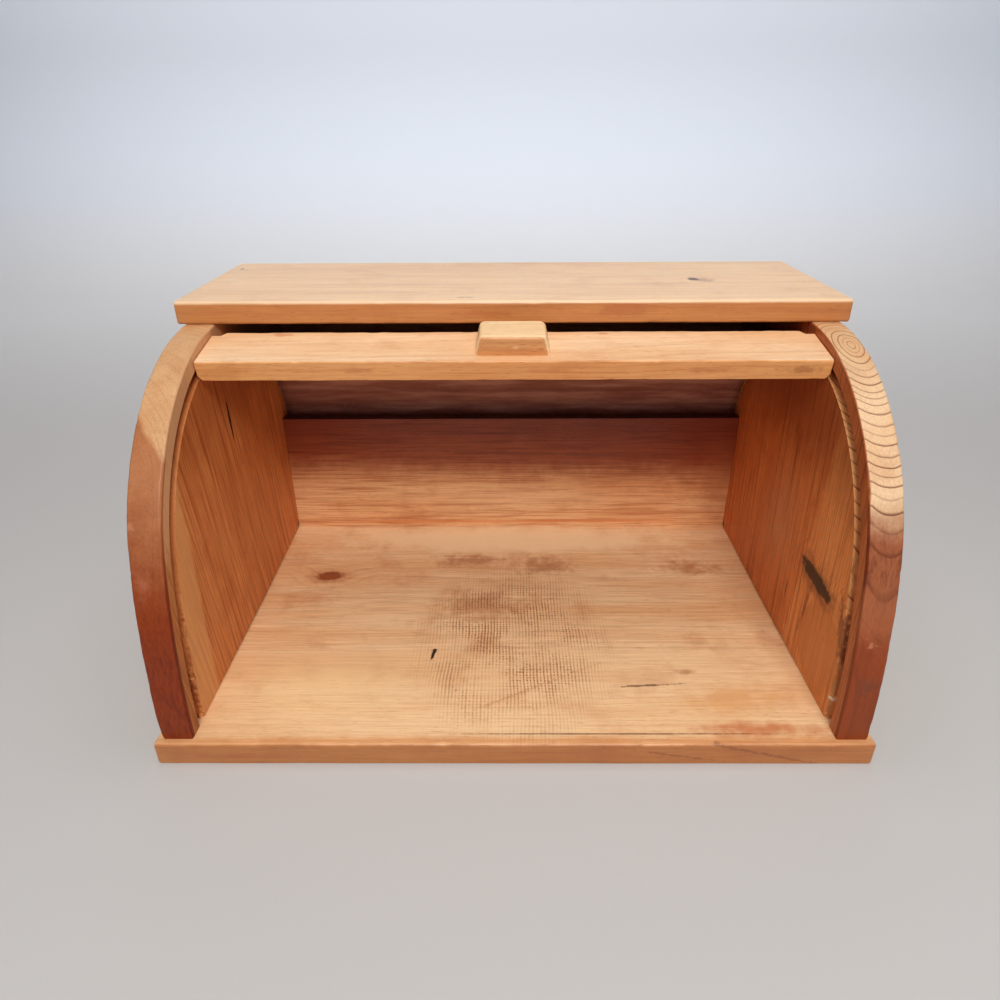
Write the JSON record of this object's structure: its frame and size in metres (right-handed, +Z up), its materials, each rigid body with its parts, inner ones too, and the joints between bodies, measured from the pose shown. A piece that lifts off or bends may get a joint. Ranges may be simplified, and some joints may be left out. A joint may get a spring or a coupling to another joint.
{
  "type": "roll-top bread box",
  "caption": "Pine bread box with two curved side boards, a flat top board and a slatted roll-top front that runs in grooves in the sides and opens by a small block handle.",
  "frame": {"origin": "bottom centre of the whole box, on the surface it stands on", "axes": "+X to the right as seen from the open front, +Y towards the back, +Z up"},
  "size_m": [0.432, 0.2918, 0.2421],
  "materials": {
    "base_wood": "clear-oiled pine, worn",
    "left_side_wood": "clear-oiled pine, worn",
    "right_side_wood": "clear-oiled pine, worn",
    "top_wood": "clear-oiled pine, worn",
    "inner_back_wood": "clear-oiled pine, worn",
    "panel_wood": "clear-oiled pine, worn",
    "lead_wood": "clear-oiled pine, worn",
    "handle_wood": "clear-oiled pine, worn",
    "slat_wood": "clear-oiled pine, worn",
    "canvas": "dark plain-woven canvas",
    "screw_steel": "plain steel, slightly dulled",
    "nail_steel": "plain steel, dulled"
  },
  "bodies": {
    "case": {"base_board": "base_wood", "left_side": "left_side_wood", "right_side": "right_side_wood", "top_board": "top_wood", "inner_back_board": "inner_back_wood", "outer_back_panel": "panel_wood", "base_screws": "screw_steel", "top_nails": "nail_steel", "panel_nails": "nail_steel"},
    "roll_top": {"slat_05": "slat_wood", "slat_06": "slat_wood", "slat_07": "slat_wood", "slat_08": "slat_wood", "slat_09": "slat_wood", "slat_10": "slat_wood", "slat_11": "slat_wood", "slat_12": "slat_wood", "slat_13": "slat_wood", "slat_14": "slat_wood", "canvas_upper": "canvas"},
    "middle_slats": {"slat_04": "slat_wood", "slat_03": "slat_wood", "canvas_middle": "canvas"},
    "lower_slats": {"slat_02": "slat_wood", "slat_01": "slat_wood", "canvas_lower": "canvas"},
    "lead": {"lead_slat": "lead_wood", "handle_block": "handle_wood", "canvas_lead": "canvas", "handle_screws": "screw_steel"}
  },
  "joints": [
    {"name": "roll_top_travel", "type": "hinge", "parent": "case", "child": "roll_top", "pos_m": [0, 0.00915, 0.0875], "axis": [1, 0, 0], "range_deg": [-4, 103.52]},
    {"name": "bend_middle", "type": "hinge", "parent": "roll_top", "child": "middle_slats", "pos_m": [0, 0.07035, 0.19466], "axis": [1, 0, 0], "range_deg": [-5.38, 0.26]},
    {"name": "bend_lower", "type": "hinge", "parent": "middle_slats", "child": "lower_slats", "pos_m": [0, 0.03944, 0.20712], "axis": [1, 0, 0], "range_deg": [-10.7, 0.46]},
    {"name": "bend_lead", "type": "hinge", "parent": "lower_slats", "child": "lead", "pos_m": [0, 0.00633, 0.21087], "axis": [1, 0, 0], "range_deg": [-11.86, 0.51]}
  ],
  "couplings": [
    {"joint": "bend_middle", "follows": "roll_top_travel", "ratio": -0.051447},
    {"joint": "bend_lower", "follows": "roll_top_travel", "ratio": -0.1029},
    {"joint": "bend_lead", "follows": "roll_top_travel", "ratio": -0.1141}
  ]
}
